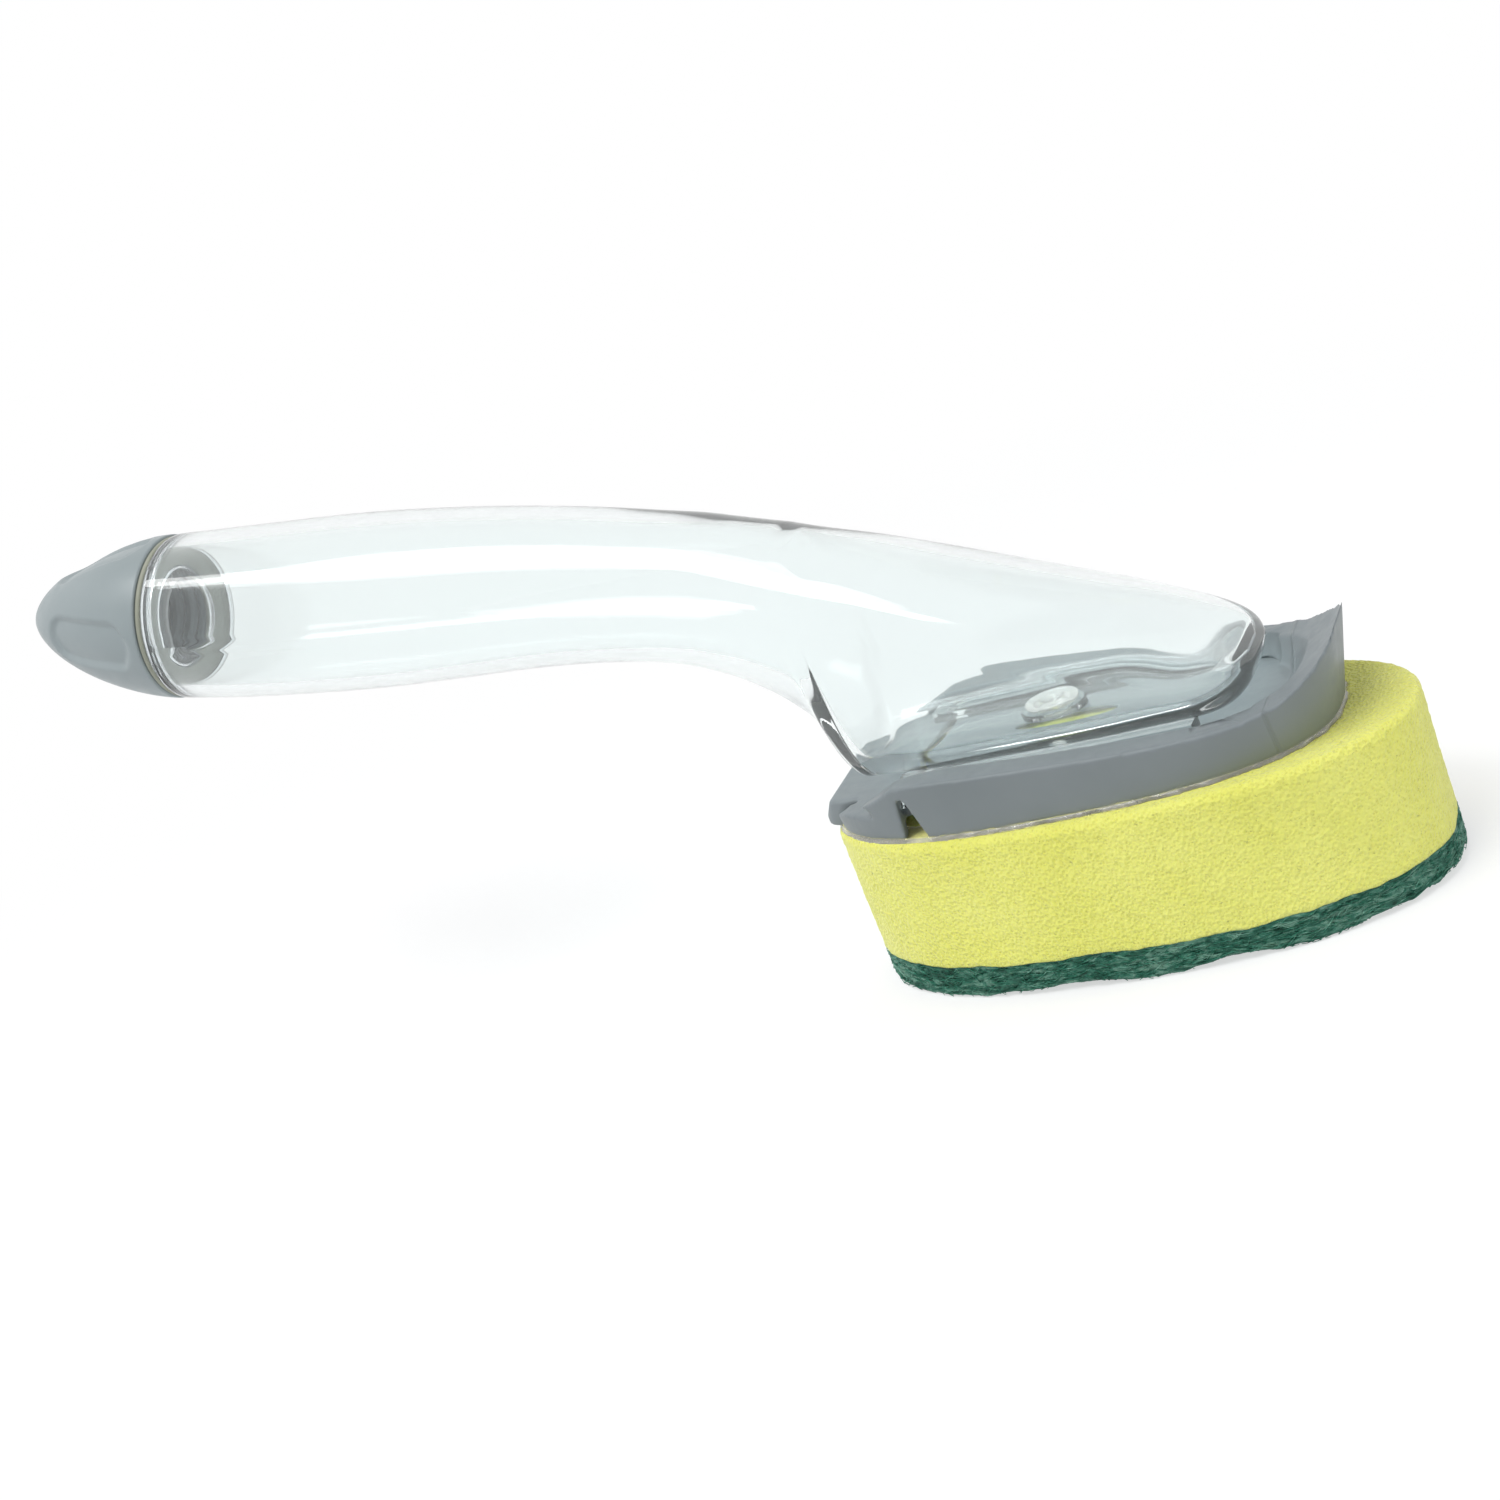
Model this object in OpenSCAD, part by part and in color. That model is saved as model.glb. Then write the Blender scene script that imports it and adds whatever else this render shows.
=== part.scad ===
// Soap-dispensing dish wand: a clear hollow handle that holds the soap, a screw cap at its tail,
// and a slide-on head of a grey base, a foam sponge and a scouring pad.
// X runs from the cap to the head, Z is up, and the origin is the middle of the pad's working face.

/* [Scouring head] */
// Length of the sponge
sponge_l = 97; // [85:1:110]
// Width of the sponge
sponge_w = 49; // [44:1:60]
// Squareness of the sponge's outline, 2 being an ellipse
sponge_square = 2.3; // [2:0.1:3]
// Thickness of the green scouring pad
pad_t = 5.8; // [4:0.2:8]
// Thickness of the yellow foam
foam_t = 22.5; // [18:0.5:28]
// Thickness of the glue layer under the base
glue_t = 0.4; // [0.3:0.1:1]

/* [Base] */
// Length of the base's foot print
base_l = 84; // [80:1:88]
// Width of the base
base_w = 44; // [43:1:48]
// Middle of the base along the head
base_x = -5; // [-7:1:-4]
// Height of the rails' top above the foam
rail_h = 9; // [8.6:0.1:10]
// Height of the bow's tip above the foam
bow_h = 16; // [13:0.5:18]
// How far the bow leans out past the foot print
bow_lean = 3.6; // [2:0.2:5]
// Wall of the skirt and of the bow
skirt_wall = 1.8; // [1.4:0.1:2.4]

/* [Handle] */
// Wall of the clear shells
shell_wall = 2.2; // [1.8:0.1:2.6]
// Tail of the handle, where the cap seats: place along X and height
tail_x = -155; // [-160:1:-150]
tail_z = 90; // [86:1:94]
// Radius of the handle's tail and of the cap
tail_r = 14.5; // [14:0.25:15.5]
// Slope of the tail's axis, in degrees
tail_tilt = 12; // [9:1:15]
// Radius of the neck that the cap screws onto, without its thread
neck_r = 8.4; // [7.5:0.1:9]
// Length of the neck
neck_l = 11; // [10:0.5:11.5]
// Half width of the foot between the rails
foot_hw = 15.5; // [14.5:0.1:15.6]

/* [Cap] */
// Length of the cap past the seal
cap_l = 30; // [26:1:34]
// Thickness of the seal
seal_t = 1.3; // [1:0.1:1.8]
// Depth of the cap's bore, which takes the neck
bore_l = 12.5; // [12:0.5:14]
// Number of finger recesses round the cap
recesses = 4; // [3:1:6]
// Depth of a finger recess
recess_d = 1.1; // [0.6:0.1:1.4]

/* [Hidden] */

// Running gap between the head and the handle
slide_gap = 0.3;
// Gap each side of the seal, which doesn't turn with the cap
seal_gap = 0.15;
eps = 0.05;

// Levels of the head, from the working face up
foam_top = pad_t + foam_t;
skirt_z = foam_top + glue_t;
rail_top = foam_top + rail_h;
bow_top = foam_top + bow_h;
floor_top = foam_top + 4.6;
floor_t = 1.6;
lip_under = floor_top + 1.7;

// Foot of the handle: two flanged runners each side of a raised middle
runner_z = floor_top + slide_gap;
runner_t = 1.1;
runner_hw = foot_hw + 2;
sole_z = floor_top + 2.1;
sole_hw = 9.2;
heel_x = -40;
toe_x = 21;
outlet_x = -7;
valve_r = 3;
soap_hole = [17, 9];

// Release tab at the stern of the base
tab_hw = sole_hw - 0.7;
tab_x = heel_x - 1.2;
tab_end = -49;
tab_top = sole_z - slide_gap;

// Shoulder of the tail, and the bore through it and the neck
shoulder_t = 1.8;
neck_bore = neck_r - 1.3;

function power(v, e) = sign(v) * pow(abs(v), e);
// Points of a superellipse: half sizes a and b, squareness n
function oval(a, b, n, count = 96) =
    [for (i = [0 : count - 1]) let (t = 360 * i / count) [a * power(cos(t), 2 / n), b * power(sin(t), 2 / n)]];
function lift(points, z, x = 0) = [for (p = points) [p[0] + x, p[1], z]];
// A value between rows a and b of a table, eased by the rows on each side of them
function eased(r0, a, b, r3, t) = a + t * (b - r0) / 2 + t * t * (r0 - 2.5 * a + 2 * b - r3 / 2)
    + t * t * t * (1.5 * (a - b) + (r3 - r0) / 2);

// The handle's stations: x, height of the weld line, rise above it, drop below it, half width,
// squareness of the lower half and the slope of the cross-section
stations = [
    [tail_x, tail_z, tail_r, tail_r, tail_r, 2, tail_tilt],
    [-142, 87.6, 14.9, 14.9, 14.9, 2, 10],
    [-119, 84, 15.1, 15.1, 15.1, 2, 9],
    [-101, 81.2, 14.4, 14.4, 14.4, 2, 9],
    [-87, 78.8, 13.5, 13.5, 13.5, 2, 10],
    [-74, 76, 12.8, 12.8, 12.8, 2, 10],
    [-63, 73, 12.5, 12.7, 12.3, 2, 7],
    [-55, 70.4, 12.8, 14.2, 12.3, 2.1, 3],
    [-49, 68, 13, 16.6, 12.8, 2.2, 0],
    [-44, 65.8, 13.2, 19.8, 13.4, 2.3, 0],
    [-41.4, 64.7, 13.3, 23.4, 13.7, 2.5, 0],
    [heel_x, 64, 13.3, 64 - sole_z, 14, 2.8, 0],
    [-35, 61.6, 13.5, 61.6 - sole_z, 14.4, 3.6, 0],
    [-24, 57, 13.6, 57 - sole_z, 15, 4.5, 0],
    [-2, 48.6, 11.4, 48.6 - sole_z, foot_hw, 4.5, 0],
    [12, 44.4, 8.6, 44.4 - sole_z, foot_hw - 0.4, 4, 0],
    [toe_x, 42, 5.4, 42 - sole_z, 14, 3.6, 0],
    [25.4, 41, 3, 39.5 - sole_z, 10.8, 3, 0],
    [27.4, 40.6, 0.7, 1.2, 5.6, 2.4, 0]];
last = len(stations) - 1;
steps = 2;
rows = concat([for (i = [0 : last - 1], k = [0 : steps - 1])
    eased(stations[max(i - 1, 0)], stations[i], stations[i + 1], stations[min(i + 2, last)], k / steps)],
    [stations[last]]);
// The hollow's stations: smaller by the wall, with the heel and the toe drawn in as well
function drawn_in(x) = x < -62 ? 0 : x < heel_x + 1 ? min((x + 62) / 14, 1) : x < 12 ? 0 : -min((x - 12) / 8, 1);
hollow = [for (r = rows) [r[0] + shell_wall * drawn_in(r[0]), r[1], max(r[2] - shell_wall, 0.3),
    max(r[3] - shell_wall, 0.3), max(r[4] - shell_wall, 0.4), r[5], r[6]]];

// Half of a cross-section as points in space: side is 1 above the weld line and -1 below it
half_steps = 18;
function half_section(r, side, overlap = 0) = let (h = side > 0 ? r[2] : r[3], n = side > 0 ? 2.1 : r[5])
    [for (p = concat([for (i = [0 : half_steps]) let (t = 180 * i / half_steps)
        [r[4] * power(cos(t), 2 / n), side * h * power(sin(t), 2 / n)]],
        [[-r[4], -side * overlap], [r[4], -side * overlap]])) [r[0] + p[1] * sin(r[6]), p[0], r[1] + p[1] * cos(r[6])]];
function all_of(points) = [for (i = [0 : len(points) - 1]) i];

// Skin over a row of convex rings, one hull a bay
module loft(rings) {
    for (i = [0 : len(rings) - 2]) {
        both = concat(rings[i], rings[i + 1]);
        hull() polyhedron(both, [all_of(both)]);
    }
}

// One solid between two level rings
module prism(low, high) {
    both = concat(low, high);
    hull() polyhedron(both, [all_of(both)]);
}

// Puts a child on the tail's axis, Z pointing out of the neck
module at_tail() {
    translate([tail_x, 0, tail_z]) rotate([0, tail_tilt - 90, 0]) children();
}

module handle_half(side) {
    difference() {
        loft([for (r = rows) half_section(r, side)]);
        loft([for (r = hollow) half_section(r, side, 0.4)]);
        at_tail() translate([0, 0, -shoulder_t]) cylinder(r = tail_r + 2, h = shoulder_t + 3, $fn = 48);
    }
}

module handle_upper_shell() {
    color("azure") handle_half(1);
}

// Flanged runner that slides under one rail
module runner(side) {
    heel = heel_x + 8;
    toe = toe_x - 3;
    hull() {
        for (x = [heel, toe], y = [sole_hw + 1, runner_hw - 0.6])
            translate([x, side * y, runner_z]) cylinder(r = 0.6, h = runner_t, $fn = 16);
    }
    translate([heel, side > 0 ? sole_hw + 0.4 : -foot_hw + 0.8, runner_z])
        cube([toe - heel, foot_hw - sole_hw - 1.2, sole_z + 1 - runner_z]);
}

module handle_lower_shell() {
    color("azure") difference() {
        union() {
            handle_half(-1);
            for (side = [-1, 1]) runner(side);
            // Boss that the valve sits in
            translate([outlet_x, 0, sole_z + 0.2]) cylinder(r = valve_r + 2.4, h = 3.4, $fn = 32);
        }
        translate([outlet_x, 0, sole_z - 2]) cylinder(r = valve_r + 0.05, h = 9, $fn = 32);
    }
}

module filler_neck() {
    color("azure") at_tail() difference() {
        union() {
            translate([0, 0, -shoulder_t]) cylinder(r = tail_r, h = shoulder_t);
            translate([0, 0, -1]) cylinder(r = neck_r, h = neck_l + 1);
        }
        translate([0, 0, -shoulder_t - 1]) cylinder(r = neck_bore, h = shoulder_t + neck_l + 2);
    }
}

module outlet_valve() {
    dome = 1.4;
    color("whitesmoke") translate([outlet_x, 0, sole_z]) rotate_extrude() polygon([[0, dome],
        [1.6, 0.3], [valve_r, 0], [valve_r, 3.8], [valve_r + 1.4, 3.8], [valve_r + 1.4, 4.7], [1.6, 4.7], [0, dome + 1]]);
}

module cap_seal() {
    color("darkkhaki") at_tail() difference() {
        translate([0, 0, seal_gap]) cylinder(r = tail_r - 0.3, h = seal_t - 2 * seal_gap);
        translate([0, 0, -1]) cylinder(r = neck_r + 0.5, h = seal_t + 2);
    }
}

// Bullet of the cap: its radius falls off towards the tip
function bullet(u, r) = r * pow(1 - pow(u, 1.6), 0.6);
module bullet_solid(r, length) {
    bays = 14;
    rotate_extrude() polygon(concat([[0, 0]],
        [for (i = [0 : bays - 1]) let (u = 1 - pow(1 - i / bays, 1.5)) [bullet(u, r), u * length]], [[0, length]]));
}

module screw_cap() {
    slot_hw = 3.4;
    slot_from = 5;
    slot_to = 0.62 * cap_l;
    color("lightslategray") at_tail() translate([0, 0, seal_t]) difference() {
        bullet_solid(tail_r, cap_l);
        // Bore over the neck, with a domed end
        translate([0, 0, -1]) cylinder(r = neck_r + 0.6, h = bore_l);
        translate([0, 0, bore_l - 1 - eps]) cylinder(r1 = neck_r + 0.6, r2 = neck_r - 3, h = 3);
        difference() {
            for (i = [0 : recesses - 1]) rotate([0, 0, 360 * i / recesses]) {
                translate([0, -slot_hw, slot_from]) cube([tail_r + 1, 2 * slot_hw, slot_to - slot_from]);
                for (end = [slot_from, slot_to])
                    translate([0, 0, end]) rotate([0, 90, 0]) cylinder(r = slot_hw, h = tail_r + 1);
            }
            bullet_solid(tail_r - recess_d, cap_l - recess_d);
        }
    }
}

// Sheer line of the base's rim, from the drooping stern to the bow's tip
bow_x = base_x + base_l / 2 + bow_lean;
sheer = [[-60, foam_top], [-50, foam_top + 1.4], [-44, foam_top + 3.6], [-39, foam_top + 5.8],
    [-34, foam_top + 7.8], [-30, rail_top + 0.7], [-24, rail_top + 1], [-10, rail_top + 0.4],
    [6, rail_top - 0.4], [16, rail_top - 0.8], [26, rail_top - 0.9], [bow_x - 9, rail_top - 0.2],
    [bow_x - 6, rail_top + 1], [bow_x - 3.4, bow_top - 4.6], [bow_x - 1.4, bow_top - 3],
    [bow_x - 0.4, bow_top - 1.4], [bow_x + 0.1, bow_top], [bow_x + 3, bow_top + 2], [bow_x + 3, foam_top], [-60, foam_top - 1]];

// Rings of the base: inset from the outside by a wall, at height h above the foam
function foot_print(inset) = oval(base_l / 2 - inset, base_w / 2 - inset, 2.5);
function crown(inset) = [for (p = oval(base_l / 2 - inset, base_w / 2 - inset, 3.3))
    [p[0] + (p[0] > 0 ? bow_lean * p[0] / (base_l / 2) : 0), p[1]]];

module base_body() {
    intersection() {
        prism(lift(foot_print(0), skirt_z, base_x), lift(crown(0), bow_top, base_x));
        rotate([90, 0, 0]) linear_extrude(height = base_w + 20, center = true) polygon(sheer);
    }
    // Release tab: a ramp that falls from behind the heel to the stern
    hull() {
        translate([tab_x - 1.5, -tab_hw, skirt_z + 1]) cube([1.5, 2 * tab_hw, tab_top - skirt_z - 1]);
        for (y = [-1, 1]) translate([tab_end + 4, y * (tab_hw - 4), skirt_z]) cylinder(r = 4, h = 1.2, $fn = 32);
        translate([tab_x - 5, -tab_hw + 1, skirt_z]) cube([4, 2 * tab_hw - 2, 5.4]);
    }
}

// Slots that let the stern flex: a wedge in each side of the skirt, and one across the floor
module relief_slots() {
    for (side = [-1, 1]) hull() {
        translate([-28.6, side * base_w / 2, skirt_z - 1]) cube([4.6, 12, 0.5], center = true);
        translate([-29.2, side * base_w / 2, skirt_z + 6.6]) rotate([90, 0, 0]) cylinder(r = 0.7, h = 12, center = true, $fn = 20);
    }
    translate([-29.9, -foot_hw, floor_top - 5]) cube([1.6, 2 * foot_hw, 8]);
    for (side = [-1, 1]) translate([-52, side * (tab_hw + 0.7) - 0.7, skirt_z - 1]) cube([52 + tab_x, 1.4, 12]);
}

// Ribs under the floor, along and across
module base_ribs() {
    rib = 1.4;
    room_top = floor_top - floor_t + eps;
    for (y = [-12, 12]) translate([-24, y - rib / 2, skirt_z + 1]) cube([48, rib, room_top - skirt_z - 1]);
    for (x = [-22, 8]) translate([x - rib / 2, -base_w / 2 + 2.4, skirt_z + 1]) cube([rib, base_w - 4.8, room_top - skirt_z - 1]);
}

module sponge_base() {
    track_end = 27;
    color("slategray") union() {
        difference() {
            base_body();
            // Room under the floor
            prism(lift(foot_print(skirt_wall), skirt_z - 1, base_x), lift(foot_print(skirt_wall), floor_top - floor_t, base_x));
            // Track for the foot, wider under the lips
            translate([-60, -foot_hw - slide_gap, floor_top]) cube([60 + track_end, 2 * foot_hw + 2 * slide_gap, 30]);
            translate([-60, -runner_hw - slide_gap, floor_top]) cube([60 + toe_x + 1, 2 * (runner_hw + slide_gap), lip_under - floor_top]);
            // Hollow of the bow
            prism(lift(oval(26, foot_hw - 1, 3), floor_top, 4), lift(crown(skirt_wall), bow_top + 0.2, base_x));
            // Soap hole
            translate([outlet_x + 1, 0, floor_top - 6]) resize([soap_hole[0], soap_hole[1], 12]) cylinder(r = 5, h = 12, $fn = 40);
            relief_slots();
        }
        base_ribs();
    }
}

// Glue squeezed out along the skirt's lower edge
module glue_layer() {
    color("honeydew") difference() {
        prism(lift(foot_print(-0.5), foam_top, base_x), lift(foot_print(-0.2), skirt_z, base_x));
        prism(lift(foot_print(5), foam_top - 1, base_x), lift(foot_print(5), skirt_z + 1, base_x));
    }
}

// Sponge block: rings of the outline, drawn in where the edges are soft
module block(z_low, z_high, soft_low, soft_high) {
    grow = [[z_low, soft_low], [z_low + soft_low, 0], [z_high - soft_high, 0], [z_high - soft_high * 0.3, soft_high * 0.3], [z_high, soft_high]];
    rings = [for (g = grow) lift(oval(sponge_l / 2 - g[1], sponge_w / 2 - g[1], sponge_square), g[0])];
    every = [for (r = rings, p = r) p];
    hull() polyhedron(every, [all_of(every)]);
}

module foam_sponge() {
    color("khaki") block(pad_t, foam_top, 0, 1.2);
}

module scouring_pad() {
    color("seagreen") block(0, pad_t, 0.4, 0);
}

handle_upper_shell();
handle_lower_shell();
filler_neck();
outlet_valve();
cap_seal();
screw_cap();
sponge_base();
glue_layer();
foam_sponge();
scouring_pad();
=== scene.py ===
import math
import bpy
import bmesh
import numpy as np
from mathutils import Matrix, Vector, noise


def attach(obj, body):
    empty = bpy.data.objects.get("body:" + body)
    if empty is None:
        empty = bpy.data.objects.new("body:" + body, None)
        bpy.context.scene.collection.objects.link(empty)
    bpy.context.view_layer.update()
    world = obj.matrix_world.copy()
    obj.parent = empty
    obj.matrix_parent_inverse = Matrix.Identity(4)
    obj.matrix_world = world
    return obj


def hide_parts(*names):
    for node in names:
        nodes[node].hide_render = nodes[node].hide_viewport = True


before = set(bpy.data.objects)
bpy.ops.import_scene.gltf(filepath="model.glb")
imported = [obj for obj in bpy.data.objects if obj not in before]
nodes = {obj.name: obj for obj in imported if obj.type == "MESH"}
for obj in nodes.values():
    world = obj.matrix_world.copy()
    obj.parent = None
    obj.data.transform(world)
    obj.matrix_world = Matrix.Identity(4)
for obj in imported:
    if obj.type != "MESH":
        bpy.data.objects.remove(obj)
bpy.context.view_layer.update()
MM = 0.001
rng = np.random.default_rng(7)

# Sizes that part.scad also has, in millimetres and degrees
PAD_T, FOAM_T = 5.8, 22.5
FOAM_TOP = PAD_T + FOAM_T
SKIRT_Z = FOAM_TOP + 0.4
BOW_TOP = FOAM_TOP + 16
FLOOR_TOP = FOAM_TOP + 4.6
SOLE_Z = FLOOR_TOP + 2.1
SPONGE_L, SPONGE_W = 97, 49
BASE_L, BASE_W, BASE_X = 84, 44, -5
LEAN, SKIRT_WALL, WALL = 3.6, 1.8, 2.2
TAIL = Vector((-155, 0, 90))
TAIL_R, TAIL_TILT, SEAL_T, CAP_L = 14.5, 12, 1.3, 30
NECK_R, NECK_L, SHOULDER_T = 8.4, 11, 1.8
OUTLET_X, VALVE_R = -7, 3

# Looks that only this script has, in millimetres
PITCH = 3.0
WELD_NICK = 0.26
SPONGE_SQUARE = 2.3
FOAM_STEP = 0.55
FIBRES = 5200
SEAM_X = 29.6


# ---------------------------------------------------------------- helpers
def power(v, e):
    """v to the power e, with v's sign kept."""
    return math.copysign(abs(v) ** e, v)


def ease(v):
    """0 below 0, 1 above 1, and a smooth step between."""
    v = min(max(v, 0.0), 1.0)
    return v * v * (3 - 2 * v)


def oval(a, b, n, count):
    """A superellipse: n is 2 for an ellipse, and more for a squarer one."""
    turns = [2 * math.pi * i / count for i in range(count)]
    return [(a * power(math.cos(t), 2 / n), b * power(math.sin(t), 2 / n)) for t in turns]


def even_oval(a, b, n, count):
    """The same oval as oval gives, with its points evenly spaced along it."""
    fine = np.array(oval(a, b, n, 4000))
    fine = np.vstack([fine, fine[:1]])
    run = np.concatenate([[0], np.cumsum(np.linalg.norm(np.diff(fine, axis=0), axis=1))])
    want = np.linspace(0, run[-1], count, endpoint=False)
    return np.stack([np.interp(want, run, fine[:, 0]), np.interp(want, run, fine[:, 1])], 1)


def make(name, verts, faces, smooth=True):
    """A mesh object from points in millimetres."""
    mesh = bpy.data.meshes.new(name)
    mesh.from_pydata([tuple(float(c) * MM for c in v) for v in verts], [], faces)
    mesh.update()
    if smooth:
        mesh.polygons.foreach_set("use_smooth", [True] * len(mesh.polygons))
    obj = bpy.data.objects.new(name, mesh)
    bpy.context.scene.collection.objects.link(obj)
    return obj


def tidy(obj):
    """Outward faces, nothing doubled."""
    bm = bmesh.new()
    bm.from_mesh(obj.data)
    bmesh.ops.remove_doubles(bm, verts=bm.verts, dist=1e-7)
    bmesh.ops.recalc_face_normals(bm, faces=bm.faces)
    bm.to_mesh(obj.data)
    bm.free()
    return obj


def rings_mesh(name, rings, closed_rows=False, caps=True):
    """Skin over rings of the same number of points; a ring of one point is a pole."""
    verts, faces, starts = [], [], []
    for ring in rings:
        starts.append(len(verts))
        verts.extend(ring)
    rows = len(rings)
    for i in range(rows if closed_rows else rows - 1):
        j = (i + 1) % rows
        a, b, na, nb = starts[i], starts[j], len(rings[i]), len(rings[j])
        n = max(na, nb)
        if n == 1:
            continue
        for k in range(n):
            m = (k + 1) % n
            if na == 1:
                faces.append((a, b + k, b + m))
            elif nb == 1:
                faces.append((a + k, b, a + m))
            else:
                faces.append((a + k, b + k, b + m, a + m))
    if caps and not closed_rows:
        for i in (0, -1):
            faces.append(tuple(range(starts[i], starts[i] + len(rings[i]))))
    return tidy(make(name, verts, faces))


def at_tail(r, angle, z):
    """A point at radius r and turn angle about the tail's axis, z out along it."""
    tilt = math.radians(TAIL_TILT - 90)
    x, y = r * math.cos(angle), r * math.sin(angle)
    return (TAIL.x + x * math.cos(tilt) + z * math.sin(tilt), y,
            TAIL.z - x * math.sin(tilt) + z * math.cos(tilt))


def at_valve(r, angle, z):
    """A point about the outlet valve's upright axis."""
    return (OUTLET_X + r * math.cos(angle), r * math.sin(angle), z)


def lathe(name, profile, count, closed=True, place=at_tail, radius=None):
    """Turns a profile of (r, z) about an axis; radius(r, z, angle, k) may change it."""
    turns = [2 * math.pi * i / count for i in range(count)]
    rings = []
    for k, (r, z) in enumerate(profile):
        if r < 1e-6:
            rings.append([place(0, 0, z)])
        else:
            rings.append([place(radius(r, z, t, k) if radius else r, t, z) for t in turns])
    return rings_mesh(name, rings, closed_rows=closed, caps=False)


def boolean(target, tool, how):
    mod = target.modifiers.new("join", "BOOLEAN")
    mod.operation, mod.object, mod.solver = how, tool, "EXACT"
    apply_all(target)
    bpy.data.objects.remove(tool, do_unlink=True)


def apply_all(obj):
    """Puts the modifiers' result into the mesh."""
    deps = bpy.context.evaluated_depsgraph_get()
    mesh = bpy.data.meshes.new_from_object(obj.evaluated_get(deps), depsgraph=deps)
    obj.modifiers.clear()
    old = obj.data
    obj.data = mesh
    bpy.data.meshes.remove(old)


def place_vertices(obj, change):
    """Moves each point, in millimetres, to where change(point, normal) says."""
    mesh = obj.data
    old = [(v.co / MM, v.normal.copy()) for v in mesh.vertices]
    new = np.array([change(p, n) for p, n in old], dtype=np.float32) * MM
    mesh.vertices.foreach_set("co", new.ravel())
    mesh.update()


def smooth_by_angle(obj, degrees):
    mesh = obj.data
    bm = bmesh.new()
    bm.from_mesh(mesh)
    for e in bm.edges:
        e.smooth = len(e.link_faces) == 2 and e.calc_face_angle(0) < math.radians(degrees)
    for f in bm.faces:
        f.smooth = True
    bm.to_mesh(mesh)
    bm.free()


# ---------------------------------------------------------------- materials
def material(name):
    """A material with its node tree, its shader and its output."""
    mat = bpy.data.materials.new(name)
    mat.use_nodes = True
    tree = mat.node_tree
    return mat, tree, tree.nodes["Principled BSDF"], tree.nodes["Material Output"]


def add(tree, kind, **values):
    """A node; each value goes to the socket of that name, or else to the node's own setting."""
    node = tree.nodes.new(kind)
    for key, value in values.items():
        if key in node.inputs:
            node.inputs[key].default_value = value
        else:
            setattr(node, key, value)
    return node


def coords(tree):
    return add(tree, "ShaderNodeTexCoord").outputs["Object"]


def noise_node(tree, vector, scale, detail=3.0, roughness=0.5, distortion=0.0):
    node = add(tree, "ShaderNodeTexNoise")
    node.inputs["Scale"].default_value = scale
    node.inputs["Detail"].default_value = detail
    node.inputs["Roughness"].default_value = roughness
    node.inputs["Distortion"].default_value = distortion
    tree.links.new(vector, node.inputs["Vector"])
    return node.outputs["Fac"]


def ramp(tree, fac, stops):
    """A colour for each value: stops are (position, colour)."""
    node = add(tree, "ShaderNodeValToRGB")
    els = node.color_ramp.elements
    while len(els) < len(stops):
        els.new(0.5)
    for el, (pos, col) in zip(els, stops):
        el.position = pos
        el.color = (*col, 1)
    tree.links.new(fac, node.inputs["Fac"])
    return node.outputs["Color"]


def remap(tree, value, a, b, c, d):
    """Stretches a to b into c to d, and holds it there."""
    node = add(tree, "ShaderNodeMapRange")
    for key, v in zip(("From Min", "From Max", "To Min", "To Max"), (a, b, c, d)):
        node.inputs[key].default_value = v
    tree.links.new(value, node.inputs["Value"])
    return node.outputs["Result"]


def math_node(tree, how, a, b=0.0):
    node = add(tree, "ShaderNodeMath", operation=how)
    for i, v in enumerate((a, b)):
        if isinstance(v, (int, float)):
            node.inputs[i].default_value = v
        else:
            tree.links.new(v, node.inputs[i])
    return node.outputs[0]


def bump(tree, height, strength, distance, normal=None):
    node = add(tree, "ShaderNodeBump")
    node.inputs["Strength"].default_value = strength
    node.inputs["Distance"].default_value = distance
    tree.links.new(height, node.inputs["Height"])
    if normal is not None:
        tree.links.new(normal, node.inputs["Normal"])
    return node.outputs["Normal"]


def lets_light_in(tree, bsdf, out, tint):
    """Clear plastic doesn't stop the lamps: shadow rays go through it, a little dimmed."""
    path = add(tree, "ShaderNodeLightPath")
    through = add(tree, "ShaderNodeBsdfTransparent")
    through.inputs["Color"].default_value = (*tint, 1)
    mix = add(tree, "ShaderNodeMixShader")
    tree.links.new(path.outputs["Is Shadow Ray"], mix.inputs[0])
    tree.links.new(bsdf.outputs[0], mix.inputs[1])
    tree.links.new(through.outputs[0], mix.inputs[2])
    tree.links.new(mix.outputs[0], out.inputs["Surface"])


def clear_plastic(name, tint, rough=0.03, wave=0.012):
    """Clear moulded plastic: faint flow waves, smudges and fine scuffs."""
    mat, tree, bsdf, out = material(name)
    co = coords(tree)
    bsdf.inputs["Base Color"].default_value = (*tint, 1)
    bsdf.inputs["Transmission Weight"].default_value = 0.965
    bsdf.inputs["IOR"].default_value = 1.49
    smudge = noise_node(tree, co, 60, 4, 0.6)
    tree.links.new(remap(tree, smudge, 0.35, 0.75, rough, rough + 0.03), bsdf.inputs["Roughness"])
    flow = noise_node(tree, co, 45, 1, 0.4, 0.6)
    scuffs = noise_node(tree, co, 900, 2, 0.6)
    waved = bump(tree, flow, wave, 0.0012)
    scuffed = bump(tree, scuffs, 0.012, 0.00005, waved)
    tree.links.new(scuffed, bsdf.inputs["Normal"])
    lets_light_in(tree, bsdf, out, (0.9, 0.92, 0.92))
    return mat


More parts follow.
